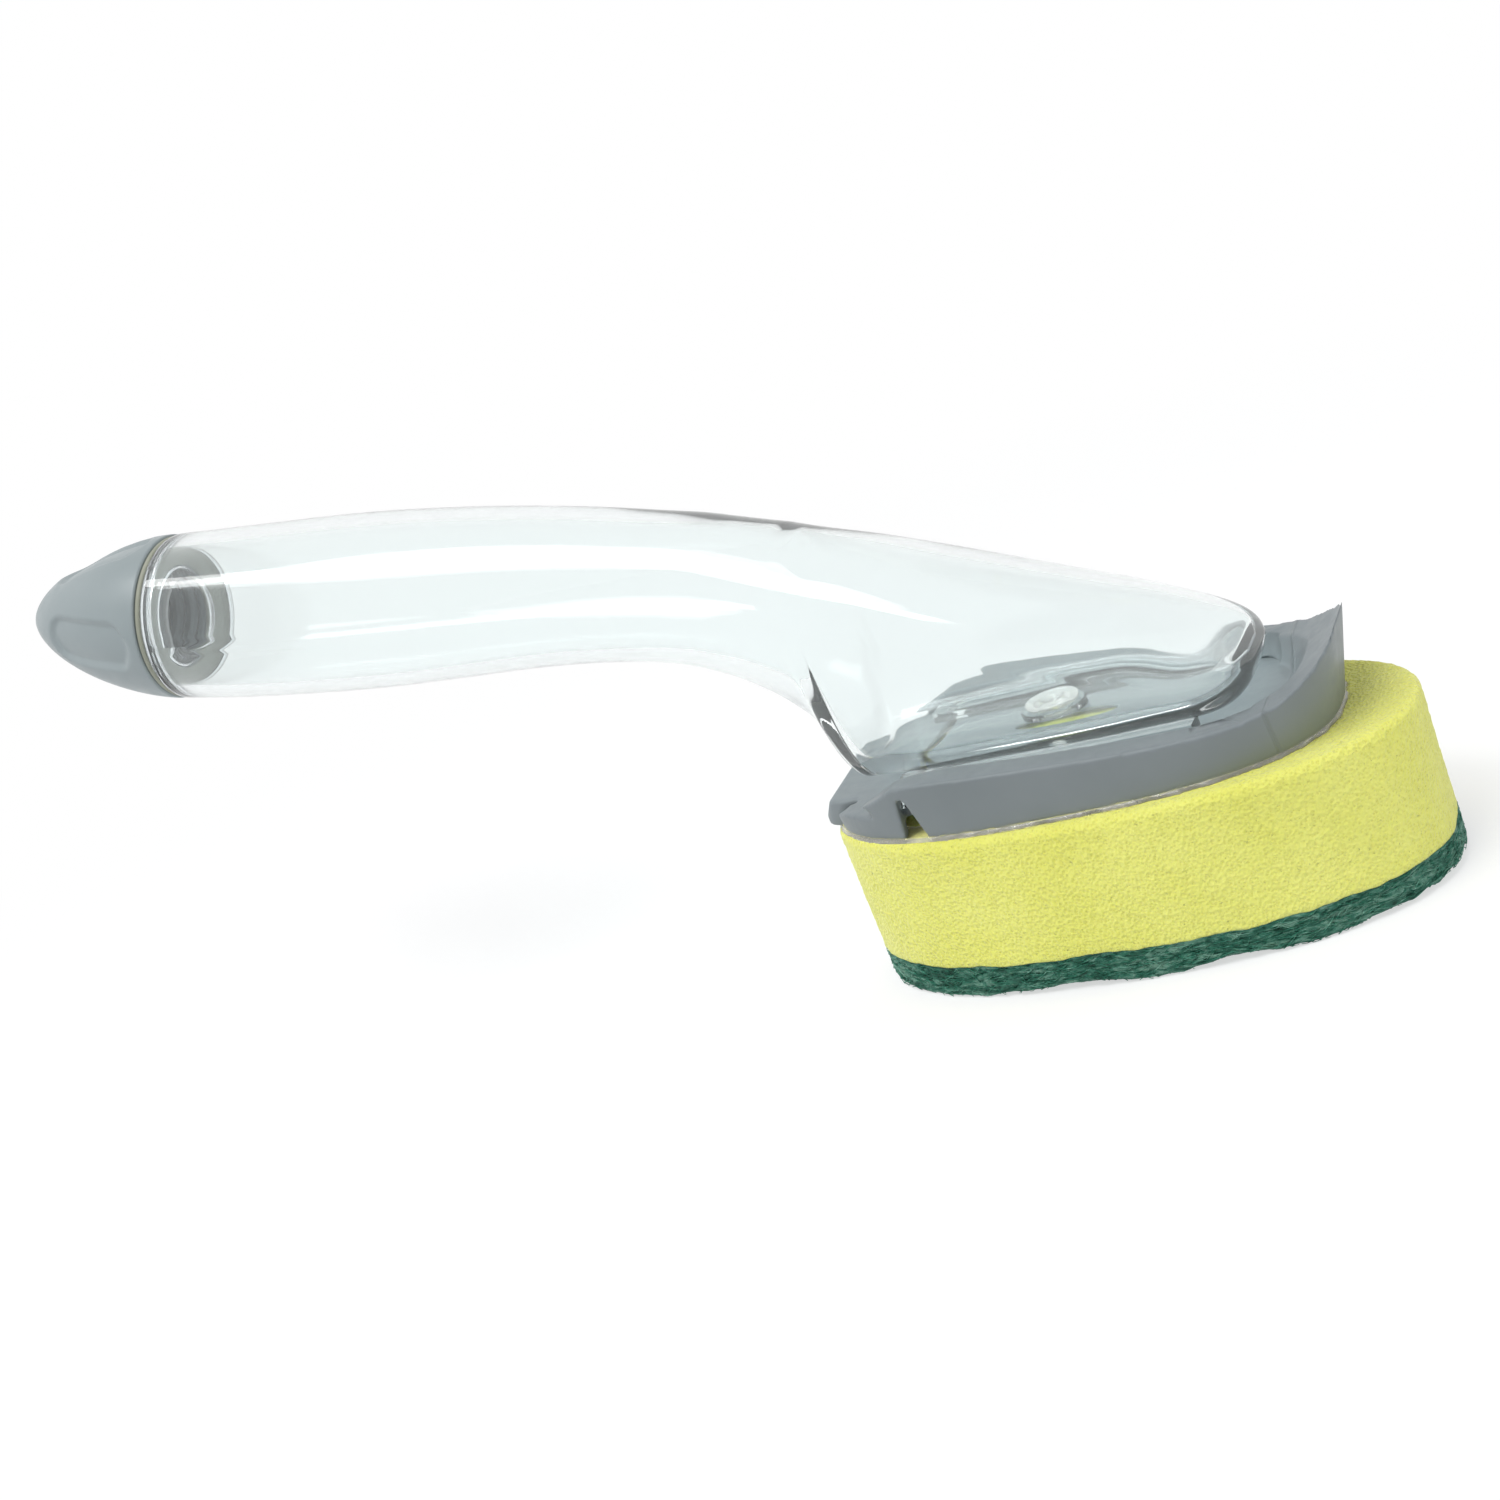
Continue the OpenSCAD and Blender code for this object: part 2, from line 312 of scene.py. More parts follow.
def moulded_grey(name, dark, light, rough, edge=0.0004, seam=None):
    """Moulded plastic with a fine grain and rounded edges; seam is a mould line's place along X."""
    mat, tree, bsdf, out = material(name)
    co = coords(tree)
    tone = noise_node(tree, co, 28, 4, 0.55)
    tree.links.new(ramp(tree, tone, [(0.3, dark), (0.7, light)]), bsdf.inputs["Base Color"])
    fine = noise_node(tree, co, 420, 3, 0.6)
    tree.links.new(remap(tree, fine, 0.3, 0.7, rough - 0.05, rough + 0.09), bsdf.inputs["Roughness"])
    bsdf.inputs["Subsurface Weight"].default_value = 0.04
    bsdf.inputs["Subsurface Radius"].default_value = (1, 1, 1)
    bsdf.inputs["Subsurface Scale"].default_value = 0.001
    rounded = add(tree, "ShaderNodeBevel", samples=6)
    rounded.inputs["Radius"].default_value = edge
    grain = noise_node(tree, co, 1500, 2, 0.6)
    ripple = noise_node(tree, co, 35, 2, 0.5)
    normal = bump(tree, ripple, 0.10, 0.0008, rounded.outputs["Normal"])
    if seam is not None:
        parts = add(tree, "ShaderNodeSeparateXYZ")
        tree.links.new(co, parts.inputs[0])
        off = math_node(tree, "ABSOLUTE", math_node(tree, "SUBTRACT", parts.outputs["X"], seam))
        normal = bump(tree, remap(tree, off, 0.0, 0.00035, 1.0, 0.0), 0.7, 0.0003, normal)
    tree.links.new(bump(tree, grain, 0.16, 0.00006, normal), bsdf.inputs["Normal"])
    return mat


M_CLEAR = clear_plastic("clear_shell", (0.925, 0.962, 0.96))
M_NECK = clear_plastic("clear_neck", (0.90, 0.92, 0.94), rough=0.04, wave=0.12)
M_CAP = moulded_grey("cap_grey", (0.27, 0.315, 0.325), (0.335, 0.38, 0.39), rough=0.36, edge=0.0005)
M_BASE = moulded_grey("base_grey", (0.185, 0.212, 0.222), (0.232, 0.262, 0.275), rough=0.44,
                      seam=SEAM_X * MM)


def seal_rubber():
    mat, tree, bsdf, out = material("seal_rubber")
    co = coords(tree)
    tone = noise_node(tree, co, 120, 3)
    olive = ramp(tree, tone, [(0.3, (0.27, 0.28, 0.22)), (0.7, (0.36, 0.37, 0.30))])
    tree.links.new(olive, bsdf.inputs["Base Color"])
    fine = noise_node(tree, co, 1800, 2)
    tree.links.new(remap(tree, fine, 0.3, 0.7, 0.5, 0.7), bsdf.inputs["Roughness"])
    tree.links.new(bump(tree, fine, 0.2, 0.00006), bsdf.inputs["Normal"])
    return mat


def silicone():
    mat, tree, bsdf, out = material("valve_silicone")
    co = coords(tree)
    bsdf.inputs["Base Color"].default_value = (0.93, 0.94, 0.92, 1)
    bsdf.inputs["Transmission Weight"].default_value = 0.75
    bsdf.inputs["IOR"].default_value = 1.41
    fine = noise_node(tree, co, 700, 3)
    tree.links.new(remap(tree, fine, 0.3, 0.7, 0.08, 0.16), bsdf.inputs["Roughness"])
    tree.links.new(bump(tree, fine, 0.1, 0.00004), bsdf.inputs["Normal"])
    lets_light_in(tree, bsdf, out, (0.8, 0.8, 0.78))
    return mat


def glue_clear():
    mat, tree, bsdf, out = material("glue_clear")
    co = coords(tree)
    bsdf.inputs["Base Color"].default_value = (0.95, 0.94, 0.88, 1)
    bsdf.inputs["Transmission Weight"].default_value = 0.82
    bsdf.inputs["IOR"].default_value = 1.47
    lumps = noise_node(tree, co, 380, 3, 0.6, 0.5)
    tree.links.new(remap(tree, lumps, 0.3, 0.7, 0.08, 0.3), bsdf.inputs["Roughness"])
    tree.links.new(bump(tree, lumps, 0.5, 0.0004), bsdf.inputs["Normal"])
    lets_light_in(tree, bsdf, out, (0.9, 0.9, 0.85))
    return mat


def foam_mat():
    """Yellow foam: fine cells all over, and here and there a larger open pore, each with painted shade, darker
    colour in its hollow.
    """
    mat, tree, bsdf, out = material("foam_yellow")
    co = coords(tree)
    cells = add(tree, "ShaderNodeTexVoronoi", feature="SMOOTH_F1")
    cells.inputs["Scale"].default_value = 1900
    cells.inputs["Smoothness"].default_value = 0.4
    cells.inputs["Randomness"].default_value = 1.0
    tree.links.new(co, cells.inputs["Vector"])
    big = add(tree, "ShaderNodeTexVoronoi", feature="F1")
    big.inputs["Scale"].default_value = 850
    tree.links.new(co, big.inputs["Vector"])
    # Painted shade: the larger open pores go dark toward their middles, where the bump makes them hollow.
    painted_pit_shade = ramp(tree, big.outputs["Distance"],
                [(0.0, (0, 0, 0)), (0.22, (0.75, 0.75, 0.75)), (0.5, (1, 1, 1))])
    where = noise_node(tree, co, 1500, 2, 0.7)
    open_pit = math_node(tree, "GREATER_THAN", where, 0.60)
    tone = noise_node(tree, co, 45, 3, 0.6)
    base = ramp(tree, tone, [(0.3, (0.84, 0.84, 0.165)), (0.7, (0.92, 0.92, 0.24))])
    # Painted shade: each fine cell is darker at its hollow middle.
    cell_shade = ramp(tree, cells.outputs["Distance"], [(0.0, (0.80, 0.76, 0.50)), (0.35, (1, 1, 1))])
    mix = add(tree, "ShaderNodeMix", data_type="RGBA", blend_type="MULTIPLY")
    mix.inputs["Factor"].default_value = 0.75
    tree.links.new(base, mix.inputs["A"])
    tree.links.new(cell_shade, mix.inputs["B"])
    dark = add(tree, "ShaderNodeMix", data_type="RGBA", blend_type="MULTIPLY")
    tree.links.new(math_node(tree, "MULTIPLY", open_pit, 0.55), dark.inputs["Factor"])
    tree.links.new(mix.outputs["Result"], dark.inputs["A"])
    tree.links.new(painted_pit_shade, dark.inputs["B"])
    tree.links.new(dark.outputs["Result"], bsdf.inputs["Base Color"])
    bsdf.inputs["Roughness"].default_value = 0.95
    bsdf.inputs["Specular IOR Level"].default_value = 0.15
    bsdf.inputs["Sheen Weight"].default_value = 0.25
    bsdf.inputs["Sheen Roughness"].default_value = 0.6
    bsdf.inputs["Subsurface Weight"].default_value = 0.25
    bsdf.inputs["Subsurface Radius"].default_value = (1.0, 0.9, 0.3)
    bsdf.inputs["Subsurface Scale"].default_value = 0.002
    fine = bump(tree, cells.outputs["Distance"], 0.7, 0.0005)
    pores = math_node(tree, "MULTIPLY", big.outputs["Distance"], open_pit)
    tree.links.new(bump(tree, pores, 0.45, 0.0006, fine), bsdf.inputs["Normal"])
    return mat


def scourer_mat(name, light):
    """Matted green fibres lying flat; light scales the colour."""
    mat, tree, bsdf, out = material(name)
    co = coords(tree)
    stretch = add(tree, "ShaderNodeMapping")
    stretch.inputs["Scale"].default_value = (0.45, 0.45, 1.6)
    tree.links.new(co, stretch.inputs["Vector"])
    streaks = noise_node(tree, stretch.outputs["Vector"], 650, 5, 0.7, 1.2)
    patches = noise_node(tree, co, 90, 3, 0.6)
    both = math_node(tree, "ADD", math_node(tree, "MULTIPLY", streaks, 0.75),
                     math_node(tree, "MULTIPLY", patches, 0.25))
    greens = [(0.38, (0.004, 0.06, 0.035)), (0.49, (0.03, 0.18, 0.12)), (0.60, (0.20, 0.40, 0.31))]
    stops = [(at, tuple(c * light for c in green)) for at, green in greens]
    tree.links.new(ramp(tree, both, stops), bsdf.inputs["Base Color"])
    bsdf.inputs["Roughness"].default_value = 0.6
    bsdf.inputs["Specular IOR Level"].default_value = 0.4
    tree.links.new(bump(tree, streaks, 0.9, 0.0006), bsdf.inputs["Normal"])
    return mat


M_SEAL, M_VALVE, M_GLUE, M_FOAM = seal_rubber(), silicone(), glue_clear(), foam_mat()
M_SCOUR, M_FIBRE = scourer_mat("scourer_green", 0.85), scourer_mat("scourer_fibre", 1.35)


def dress(obj, mat):
    obj.data.materials.clear()
    obj.data.materials.append(mat)
    return obj


# ---------------------------------------------------------------- clear handle
# Each row: x and z of the middle, reach up, down and to the side, squareness below, slope in degrees
STATIONS = [
    (-155, 90, 14.5, 14.5, 14.5, 2, 12),
    (-142, 87.6, 14.9, 14.9, 14.9, 2, 10),
    (-119, 84, 15.1, 15.1, 15.1, 2, 9),
    (-101, 81.2, 14.4, 14.4, 14.4, 2, 9),
    (-87, 78.8, 13.5, 13.5, 13.5, 2, 10),
    (-74, 76, 12.8, 12.8, 12.8, 2, 10),
    (-63, 73, 12.5, 12.7, 12.3, 2, 7),
    (-55, 70.4, 12.8, 14.2, 12.3, 2.1, 3),
    (-49, 68, 13, 16.6, 12.8, 2.2, 0),
    (-44, 65.8, 13.2, 19.8, 13.4, 2.3, 0),
    (-41.4, 64.7, 13.3, 23.4, 13.7, 2.5, 0),
    (-40, 64, 13.3, 64 - SOLE_Z, 14, 2.8, 0),
    (-35, 61.6, 13.5, 61.6 - SOLE_Z, 14.4, 3.6, 0),
    (-24, 57, 13.6, 57 - SOLE_Z, 15, 4.5, 0),
    (-2, 48.6, 11.4, 48.6 - SOLE_Z, 15.5, 4.5, 0),
    (12, 44.4, 8.6, 44.4 - SOLE_Z, 15.1, 4, 0),
    (21, 42, 5.4, 42 - SOLE_Z, 14, 3.6, 0),
    (25.4, 41, 3, 39.5 - SOLE_Z, 10.8, 3, 0),
    (27.4, 40.6, 0.7, 1.2, 5.6, 2.4, 0)]


def eased_rows(steps):
    """The stations with a smooth curve drawn through them, and its kinks worn off."""
    rows = np.array(STATIONS, float)
    out = []
    for i in range(len(rows) - 1):
        before, a, b, after = rows[max(i - 1, 0)], rows[i], rows[i + 1], rows[min(i + 2, len(rows) - 1)]
        for k in range(steps):
            t = k / steps
            out.append(a + t * (b - before) / 2 + t * t * (before - 2.5 * a + 2 * b - after / 2)
                       + t ** 3 * (1.5 * (a - b) + (after - before) / 2))
    out.append(rows[-1])
    out = np.array(out)
    for _ in range(6):
        out[1:-1] = (out[:-2] + 2 * out[1:-1] + out[2:]) / 4
    return out


def hollow_rows(rows):
    """The hollow: smaller by the wall, with the heel and the toe drawn in as well."""
    inner = rows.copy()
    for r in inner:
        x = r[0]
        drawn = ease((x + 74) / 30) - ease((x + 40) / 20) - ease((x - 8) / 13)
        r[0] += WALL * drawn
        for c, least in ((2, 0.3), (3, 0.3), (4, 0.4)):
            r[c] = max(r[c] - WALL, least)
    return inner


def section_ring(r, count, groove=0.0):
    """A whole section; groove is the depth of the weld line's nick on each side."""
    slope = math.radians(r[6])
    out = []
    for side in (1, -1):
        h, n = (r[2], 2.1) if side > 0 else (r[3], r[5])
        for i in range(count):
            t = math.pi * i / count
            if side < 0:
                t = math.pi - t
            y = r[4] * power(math.cos(t), 2 / n)
            v = side * h * power(math.sin(t), 2 / n)
            if i == 0:
                y -= math.copysign(groove, y)
            out.append((r[0] + v * math.sin(slope), y, r[1] + v * math.cos(slope)))
    return out


def clear_handle(steps=8, count=56):
    """Both welded halves in one: outer skin, inner skin and the open tail's rim, closed."""
    rows = eased_rows(steps)
    # The shells start at the shoulder, inside the tail
    share = SHOULDER_T / abs(rows[1][0] - rows[0][0])
    rows[0] = rows[0] + (rows[1] - rows[0]) * min(share, 0.95)
    inner = hollow_rows(rows)
    # The weld line fades toward the head
    outside = [section_ring(r, count, WELD_NICK * (1 - ease((r[0] + 118) / 50))) for r in rows]
    inside = [section_ring(r, count) for r in inner]
    tip = [(rows[-1][0] + 0.35, 0, rows[-1][1])]
    tip_in = [(inner[-1][0] + 0.1, 0, inner[-1][1])]
    # One closed profile: out over the skin to the tip, and back along the hollow
    return rings_mesh("clear_shell", outside + [tip, tip_in] + inside[::-1], closed_rows=True)


def rounded_bar(x0, x1, y0, y1, z0, z1, r=0.5):
    """A bar with rounded corners in plan."""
    ring = []
    for cx, cy, start in ((x1 - r, y1 - r, 0), (x0 + r, y1 - r, 90), (x0 + r, y0 + r, 180), (x1 - r, y0 + r, 270)):
        for i in range(7):
            t = math.radians(start + 15 * i)
            ring.append((cx + r * math.cos(t), cy + r * math.sin(t)))
    return rings_mesh("bar", [[(x, y, z) for x, y in ring] for z in (z0, z1)])


shell = clear_handle()
for side in (-1, 1):
    # Each runner: a flange that slides under the rail's lip, and the web that carries it
    near, far = sorted((side * 10.2, side * 16.9))
    boolean(shell, rounded_bar(-32, 18, near, far, FLOOR_TOP + 0.3, FLOOR_TOP + 1.4), "UNION")
    near, far = sorted((side * 9.7, side * 14.6))
    boolean(shell, rounded_bar(-31.6, 17.8, near, far, FLOOR_TOP + 1.3, SOLE_Z + 1.1), "UNION")
boss_r, boss_top = VALVE_R + 2.4, SOLE_Z + 3.6
boss = lathe("boss", [(0, SOLE_Z + 0.2), (boss_r, SOLE_Z + 0.2), (boss_r, boss_top - 0.4),
                      (boss_r - 0.3, boss_top), (0, boss_top)], 48, closed=False, place=at_valve)
boolean(shell, boss, "UNION")
hole_r, hole_low, hole_high = VALVE_R + 0.05, SOLE_Z - 2, SOLE_Z + 7
hole = lathe("hole", [(0, hole_low), (hole_r, hole_low), (hole_r, hole_high), (0, hole_high)], 48,
             closed=False, place=at_valve)
boolean(shell, hole, "DIFFERENCE")
smooth_by_angle(shell, 30)
dress(shell, M_CLEAR)
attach(shell, "handle")
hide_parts("handle_upper_shell", "handle_lower_shell")


# ---------------------------------------------------------------- tail: neck, seal, cap
def thread(z, angle, first, last, depth):
    """Height of a rounded helical thread at this place."""
    turn = (z / PITCH - angle / (2 * math.pi)) % 1.0
    ridge = max(0.0, math.cos((turn - 0.5) * 2 * math.pi)) ** 1.5
    ends = min(max((z - first) / 1.6, 0), 1) * min(max((last - z) / 1.6, 0), 1)
    return depth * ridge * ends


NECK_BORE = NECK_R - 1.3


def neck_outline():
    """The neck's profile: the shoulder disc, up the outside, over the lip and down the bore."""
    low = -SHOULDER_T
    out = [(NECK_BORE, low + 0.3), (NECK_BORE + 0.3, low)]
    out += [(r, low) for r in (9, 10.5, 12, 13.5, TAIL_R - 0.25)]
    out += [(TAIL_R, low + 0.25), (TAIL_R, -0.4), (TAIL_R - 0.15, -0.1), (TAIL_R - 0.4, 0)]
    out += [(12, 0), (9.4, 0), (NECK_R + 0.3, 0.15), (NECK_R, 0.5)]
    z = 0.5
    while z < NECK_L - 0.5:
        z += 0.22
        out.append((NECK_R, min(z, NECK_L - 0.4)))
    out += [(NECK_R - 0.15, NECK_L - 0.12), (NECK_R - 0.4, NECK_L), (NECK_R - 0.9, NECK_L)]
    out += [(NECK_R - 1.2, NECK_L - 0.15), (NECK_BORE, NECK_L - 0.4)]
    return out + [(NECK_BORE, NECK_L * (1 - k / 8)) for k in range(1, 8)]


def neck_radius(r, z, angle, k):
    """The thread stands on the neck's plain outside only."""
    return r + (thread(z, angle, 1.2, NECK_L - 0.6, 0.5) if abs(r - NECK_R) < 0.01 else 0)


neck = lathe("neck", neck_outline(), 144, radius=neck_radius)
dress(neck, M_NECK)
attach(neck, "handle")
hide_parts("filler_neck")

seal = lathe("seal_ring", [
    (NECK_R + 0.6, 0.35), (NECK_R + 0.9, 0.15), (TAIL_R - 0.6, 0.12), (TAIL_R - 0.3, 0.3), (TAIL_R - 0.22, 0.65),
    (TAIL_R - 0.3, 1.0), (TAIL_R - 0.6, 1.18), (NECK_R + 0.9, 1.15), (NECK_R + 0.6, 0.95)], 144)
dress(seal, M_SEAL)
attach(seal, "seal")
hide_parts("cap_seal")


def bullet(u, r):
    """The cap's radius at share u of its length."""
    return r * max(0.0, 1 - u ** 1.6) ** 0.6


def soft_box(v, half, edge):
    """1 inside, easing to 0 across the edge."""
    return ease((half + edge - abs(v)) / (2 * edge))


CAP_BORE = NECK_R + 0.6
shares = 1 - (1 - np.linspace(0.012, 1, 110)) ** 1.35
cap_skin = [(TAIL_R - 0.35, SEAL_T), (TAIL_R - 0.08, SEAL_T + 0.1), (TAIL_R, SEAL_T + 0.35)]
cap_skin += [(bullet(u, TAIL_R), SEAL_T + u * CAP_L) for u in shares[:-1]] + [(0, SEAL_T + CAP_L)]
cap_well = [(0, SEAL_T + 14.6), (NECK_R - 3, SEAL_T + 14.4), (NECK_R - 0.8, SEAL_T + 13.2),
            (CAP_BORE - 0.2, SEAL_T + 11.9)]
cap_well += [(CAP_BORE, SEAL_T + z) for z in np.arange(11.6, 0.5, -0.22)]
cap_well += [(CAP_BORE, SEAL_T + 0.35), (CAP_BORE + 0.3, SEAL_T)]


def cap_radius(r, z, angle, k):
    """Four finger recesses in the skin, and the thread in the bore."""
    if k >= len(cap_skin):
        if abs(r - CAP_BORE) < 0.01:
            return r - thread(z - 1.5, angle, 0.3, 10.5, 0.45) * 0.9
        return r
    along = z - SEAL_T
    quarter = math.pi / 2
    across = ((angle + quarter / 2) % quarter - quarter / 2) * r
    width = 4.3 * min(1, 0.35 + 0.65 * soft_box(along - 9, 14, 6))
    length = soft_box(along - 12.2, 9.6 - 0.12 * across * across, 0.9)
    return r - 1.0 * soft_box(across, width, 0.75) * length


# One closed profile: from the rim out over the tip, and back down the bore
cap = lathe("cap_shell", cap_skin + cap_well, 240, radius=cap_radius)
dress(cap, M_CAP)
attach(cap, "cap")
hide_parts("screw_cap")

# ---------------------------------------------------------------- outlet valve
stem, flange = VALVE_R - 0.05, VALVE_R + 1.4
valve_profile = [
    (0, 1.4), (0.5, 1.05), (1.6, 0.35), (VALVE_R - 0.3, 0), (stem, 0.15), (stem, 3.7), (VALVE_R + 0.1, 3.85),
    (flange - 0.2, 3.85), (flange, 4.05), (flange, 4.5), (flange - 0.2, 4.7), (2.0, 4.7), (1.7, 4.5), (0.6, 2.4),
    (0, 2.1)]
valve = lathe("outlet_duckbill", [(r, SOLE_Z + z) for r, z in valve_profile], 64, closed=False, place=at_valve)
dress(valve, M_VALVE)
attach(valve, "handle")
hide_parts("outlet_valve")


# ---------------------------------------------------------------- base
def foot_print(count):
    """The skirt's lower outline."""
    return oval(BASE_L / 2, BASE_W / 2, 2.5, count)


def crown(inset, count):
    """The outline at the bow's height, which leans forward at the bow."""
    ring = oval(BASE_L / 2 - inset, BASE_W / 2 - inset, 3.3, count)
    return [(x + (LEAN * x / (BASE_L / 2) if x > 0 else 0), y) for x, y in ring]



def reach_of(ring, centre, own):
    """How far a ring reaches from the centre at the turn of a point."""
    turn = np.arctan2(ring[:, 1], ring[:, 0] - centre)
    k = int(np.argmin(np.abs(np.angle(np.exp(1j * (turn - own))))))
    return math.hypot(ring[k, 0] - centre, ring[k, 1])


def smooth_bow(obj):
    """Inside the bow the wall runs on smoothly past the track's square end."""
    track_x, track_l, track_w = 4, 26, 15.6
    track = np.array(oval(track_l, track_w, 3.6, 720)) + [track_x, 0]
    inner_rim = np.array(crown(SKIRT_WALL, 720)) + [BASE_X, 0]
    skirt = np.array(foot_print(720)) + [BASE_X, 0]
    rim = np.array(crown(0, 720)) + [BASE_X, 0]
    for v in obj.data.vertices:
        x, y, z = v.co / MM
        if not (17.5 < x < 27.8 and abs(y) < 17.9 and FLOOR_TOP + 0.12 < z):
            continue
        s = (z - FLOOR_TOP) / (BOW_TOP - FLOOR_TOP)
        up = (z - SKIRT_Z) / (BOW_TOP - SKIRT_Z)
        centre = track_x * (1 - s) + BASE_X * s
        own = math.atan2(y, x - centre)
        here = math.hypot(x - centre, y)
        # The outer skin stays where it is
        if here > reach_of(skirt * (1 - up) + rim * up, centre, own) - 0.9:
            continue
        reach = reach_of(track * (1 - s) + inner_rim * s, centre, own)
        if here > reach:
            share = reach / here
            v.co = Vector((centre + (x - centre) * share, y * share, z)) * MM
    obj.data.update()


# The base is the CAD solid with its edges rounded as a moulding's are
base = bpy.data.objects.new("base_moulding", nodes["sponge_base"].data.copy())
bpy.context.scene.collection.objects.link(base)
mod = base.modifiers.new("even", "REMESH")
mod.mode, mod.voxel_size = "VOXEL", 0.32 * MM
apply_all(base)
mod = base.modifiers.new("round", "SMOOTH")
mod.factor, mod.iterations = 0.5, 6
mod = base.modifiers.new("fewer", "DECIMATE")
mod.ratio = 0.35
apply_all(base)
smooth_bow(base)
base.data.polygons.foreach_set("use_smooth", [True] * len(base.data.polygons))
dress(base, M_BASE)
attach(base, "head")
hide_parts("sponge_base")


# ---------------------------------------------------------------- glue
def bead(count=420):
    """Glue squeezed out all round, its outer edge running in and out."""
    path = even_oval(BASE_L / 2, BASE_W / 2, 2.5, count)
    gap = SKIRT_Z - FOAM_TOP
    rings = []
    for i, (x, y) in enumerate(path):
        px, py = path[i - 1]
        nx, ny = path[(i + 1) % count]
        t = Vector((nx - px, ny - py, 0)).normalized()
        out = Vector((t.y, -t.x, 0))
        slow = noise.noise(Vector((x * 0.35, y * 0.35, 3)))
        quick = noise.noise(Vector((x * 1.3, y * 1.3, 8)))
        reach = min(max(0.55 + 0.45 * slow + 0.3 * quick, 0.15), 1.2)
        tall = 0.35 + 0.3 * max(0, slow + 0.5 * quick)
        # Pairs of (outward, up) from the skirt's foot: the film under the base, then the bead
        film = [(-4.5, 0.02), (-4.5, 0.38), (-1.6, 0.38), (-0.2, 0.39)]
        lump = [(0.02, gap + tall), (0.25 * reach, gap + 0.8 * tall), (0.7 * reach, 0.3 + 0.4 * tall),
                (reach, 0.12), (0.8 * reach, 0.0), (0.0, 0.0)]
        middle = Vector((x + BASE_X, y, FOAM_TOP))
        rings.append([tuple(middle + out * off + Vector((0, 0, rise))) for off, rise in film + lump])
    return rings_mesh("glue_bead", rings, closed_rows=True)


glue = bead()
dress(glue, M_GLUE)
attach(glue, "head")
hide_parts("glue_layer")


# ---------------------------------------------------------------- foam and scourer
def sponge_outline(inset, count):
    return even_oval(SPONGE_L / 2 - inset, SPONGE_W / 2 - inset, SPONGE_SQUARE, count)


def block(name, levels, top_rows):
    """A closed slab: a side of rings at (z, inset), and a top and bottom of rings drawn to the middle."""
    count = int(250 / FOAM_STEP)
    (low, low_inset), (high, high_inset) = levels[0], levels[-1]
    rings = [(low, s, low_inset) for s in np.linspace(0.02, 0.985, top_rows)]
    rings += [(z, 1.0, inset) for z, inset in levels]
    rings += [(high, s, high_inset) for s in np.linspace(0.985, 0.02, top_rows)]
    out = [[(0, 0, low)]]
    for z, s, inset in rings:
        k = s ** 0.8
        out.append([(x * k, y * k, z) for x, y in sponge_outline(inset, count)])
    return rings_mesh(name, out + [[(0, 0, high)]], caps=False)


def joint_wave(x, y):
    """Rise of the foam and scourer's uneven joint, which shows round the edge."""
    v = Vector((x, y, 0))
    slow = 0.9 * noise.noise(v * 0.05 + Vector((3, 1, 7)))
    return slow + 0.55 * noise.noise(v * 0.13) + 0.22 * noise.noise(v * 0.45) - 0.2


def rim_lift(x, y):
    """How far the scourer's lower edge is worn up."""
    v = Vector((x, y, 4))
    return max(0.0, 0.5 + 1.2 * noise.noise(v * 0.07) + 0.5 * noise.noise(v * 0.3))


def pad_rise(x, y, z):
    """How far the wavy joint and the worn edge lift a point of the scourer."""
    edge = (abs(x) / (SPONGE_L / 2)) ** SPONGE_SQUARE + (abs(y) / (SPONGE_W / 2)) ** SPONGE_SQUARE
    return joint_wave(x, y) * z / PAD_T + rim_lift(x, y) * ease((edge - 0.72) / 0.28) * (1 - z / PAD_T)


def foam_shape(p, n):
    """Soft swells and fine pores; the face under the base stays flat for the glue."""
    x, y, z = p
    under = ((x - BASE_X) / 43.5) ** 2 + (y / 23.5) ** 2 < 1.0 and z > FOAM_TOP - 0.3
    big = noise.noise(Vector((x * 0.07, y * 0.07, z * 0.09 + 5))) * 0.35
    mid = noise.noise(Vector((x * 0.9, y * 0.9, z * 0.9))) * 0.10
    fine = noise.noise(Vector((x * 2.4, y * 2.4, z * 2.4))) * 0.14
    side = (1 - abs(n.z)) ** 0.5
    move = 0.0 if under else big * side - 0.12 + (mid + fine) * 0.9
    z_move = 0 if z < PAD_T + 0.4 else n.z * min(move, 0)
    z_move += joint_wave(x, y) * ease(1 - (z - PAD_T) / 7)
    return Vector((x + n.x * move, y + n.y * move, z + z_move))


def pad_shape(p, n):
    """Matted layers that stand in and out at the side, and a rough working face."""
    x, y, z = p
    side = (1 - abs(n.z)) ** 0.5
    lay = noise.noise(Vector((x * 0.5, y * 0.5, z * 2.2 + 11)))
    rough = noise.noise(Vector((x * 1.6, y * 1.6, z * 3.5)))
    fine = noise.noise(Vector((x * 4, y * 4, z * 6)))
    move = side * (lay * 0.5 + rough * 0.4 - 0.35) + fine * 0.16
    face = max(0.0, 0.12 + rough * 0.16 + fine * 0.1) if n.z < -0.3 else 0.0
    return Vector((x + n.x * move, y + n.y * move, z + face + pad_rise(x, y, z)))


# The top edge is rounded over 1.6 mm
ROUND = 1.6
foam_levels = [(PAD_T, 0.25), (PAD_T + 0.15, 0.08)]
foam_levels += [(z, 0.0) for z in np.arange(PAD_T + 0.5, FOAM_TOP - ROUND, FOAM_STEP)]
foam_levels += [(FOAM_TOP - ROUND + ROUND * math.sin(t), 1.5 * (1 - math.cos(t)))
                for t in np.linspace(0.1, math.pi / 2, 5)]
foam = block("foam_block", foam_levels, int(26 / FOAM_STEP * 0.55))
place_vertices(foam, foam_shape)
dress(foam, M_FOAM)
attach(foam, "head")
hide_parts("foam_sponge")

